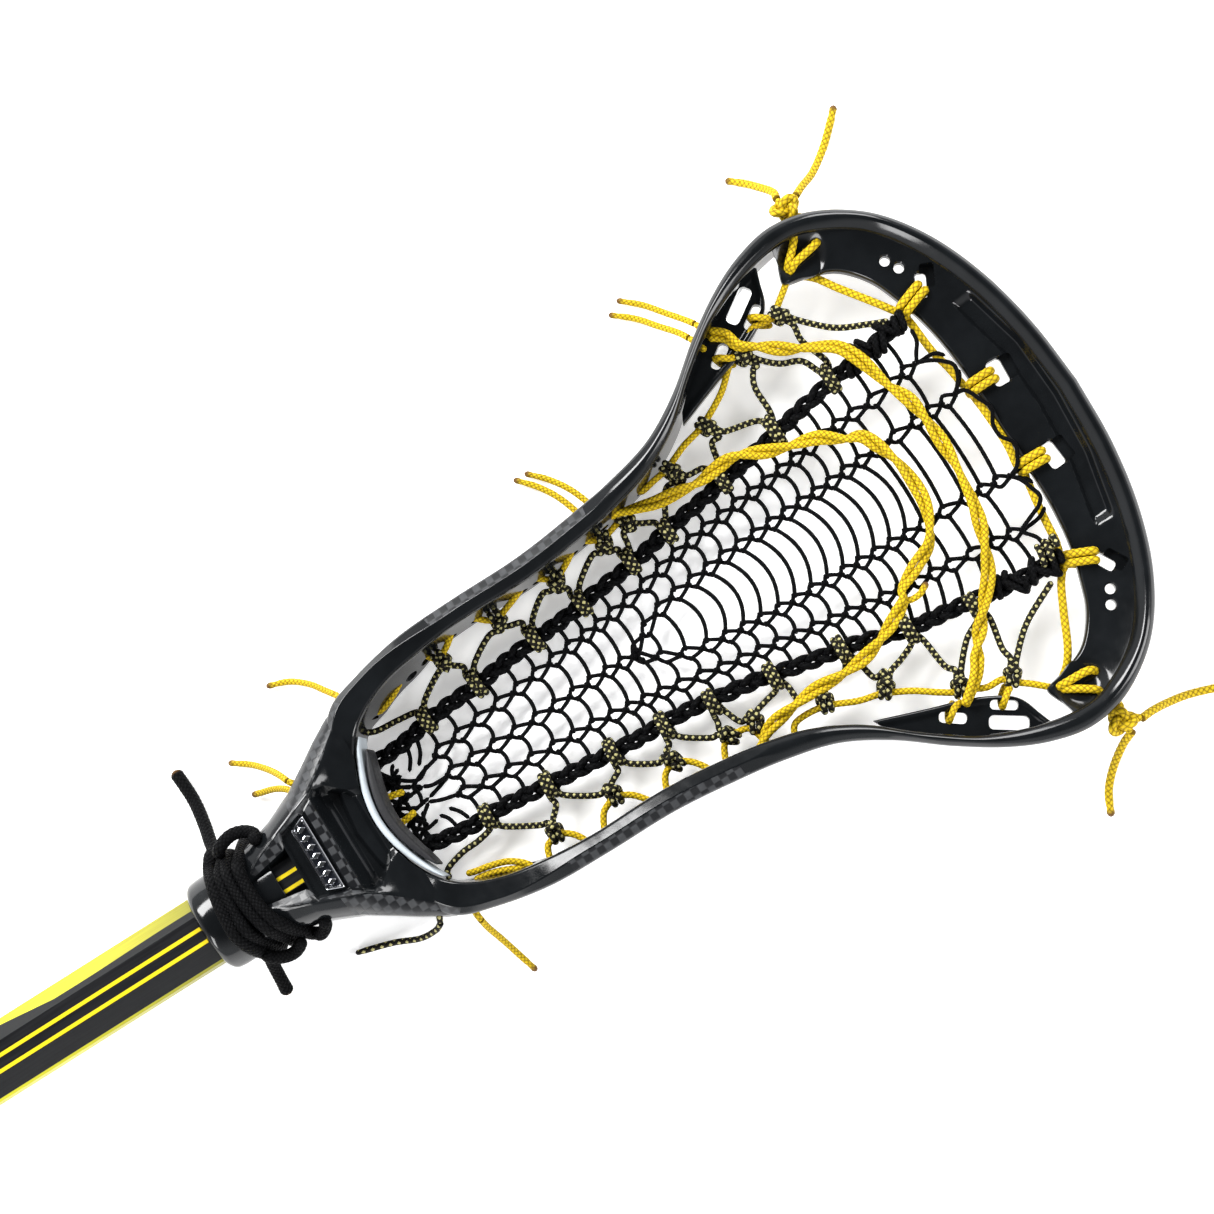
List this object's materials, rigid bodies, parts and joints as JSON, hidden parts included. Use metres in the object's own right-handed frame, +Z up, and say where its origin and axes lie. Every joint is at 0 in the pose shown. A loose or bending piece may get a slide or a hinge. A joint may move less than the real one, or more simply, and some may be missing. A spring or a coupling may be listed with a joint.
{
  "type": "lacrosse stick",
  "caption": "Women's lacrosse stick lying face up: flared moulded head with a strung mesh pocket on a long octagonal shaft with a butt cap.",
  "frame": {"origin": "on the ground under the middle of the stick's length, face up", "axes": "+X along the shaft from the butt to the scoop, +Y to the stick's left, +Z up out of the face"},
  "size_m": [1.0788, 0.2391, 0.0382],
  "materials": {
    "gloss_black": "glossy injection-moulded nylon with faint woven-pattern areas",
    "chrome": "bright badge plate",
    "white_foam": "closed-cell foam strip",
    "black_foam": "soft foam pad",
    "shaft_paint": "satin black over olive gold, thin yellow stripes",
    "rubber": "matt moulded rubber",
    "steel": "plated screw",
    "black_cord": "braided waxed nylon cord",
    "yellow_cord": "braided yellow nylon cord",
    "tracer_cord": "black braid with a yellow tracer"
  },
  "bodies": {
    "stick": {"head_frame": "gloss_black", "throat_badge": "chrome", "ball_stop_foam": "white_foam", "ball_stop_pad": "black_foam", "head_screw": "steel", "shaft": "shaft_paint", "mesh_pocket": "black_cord", "left_rail": "black_cord", "right_rail": "black_cord", "left_sidewall_string": "yellow_cord", "right_sidewall_string": "yellow_cord", "left_crosslace": "tracer_cord", "right_crosslace": "tracer_cord", "top_string": "yellow_cord", "upper_shooting_string": "yellow_cord", "lower_shooting_string": "yellow_cord", "neck_cord": "black_cord", "left_corner_knot": "yellow_cord", "right_corner_knot": "yellow_cord", "tail_corner_left_a": "yellow_cord", "tail_corner_left_b": "yellow_cord", "tail_corner_right_a": "yellow_cord", "tail_corner_right_b": "yellow_cord", "tail_shooting_upper_left_a": "yellow_cord", "tail_shooting_upper_left_b": "yellow_cord", "tail_shooting_lower_left_a": "yellow_cord", "tail_shooting_lower_left_b": "yellow_cord", "tail_sidewall_left": "yellow_cord", "tail_throat_left": "yellow_cord", "tail_crosslace_right": "tracer_cord", "tail_sidewall_right": "yellow_cord", "tail_neck_left": "black_cord"},
    "cap": {"butt_cap": "rubber"}
  },
  "joints": [
    {"name": "cap_pull", "type": "slide", "parent": "stick", "child": "cap", "axis": [-1, 0, 0], "range_m": [0, 0.04]}
  ]
}
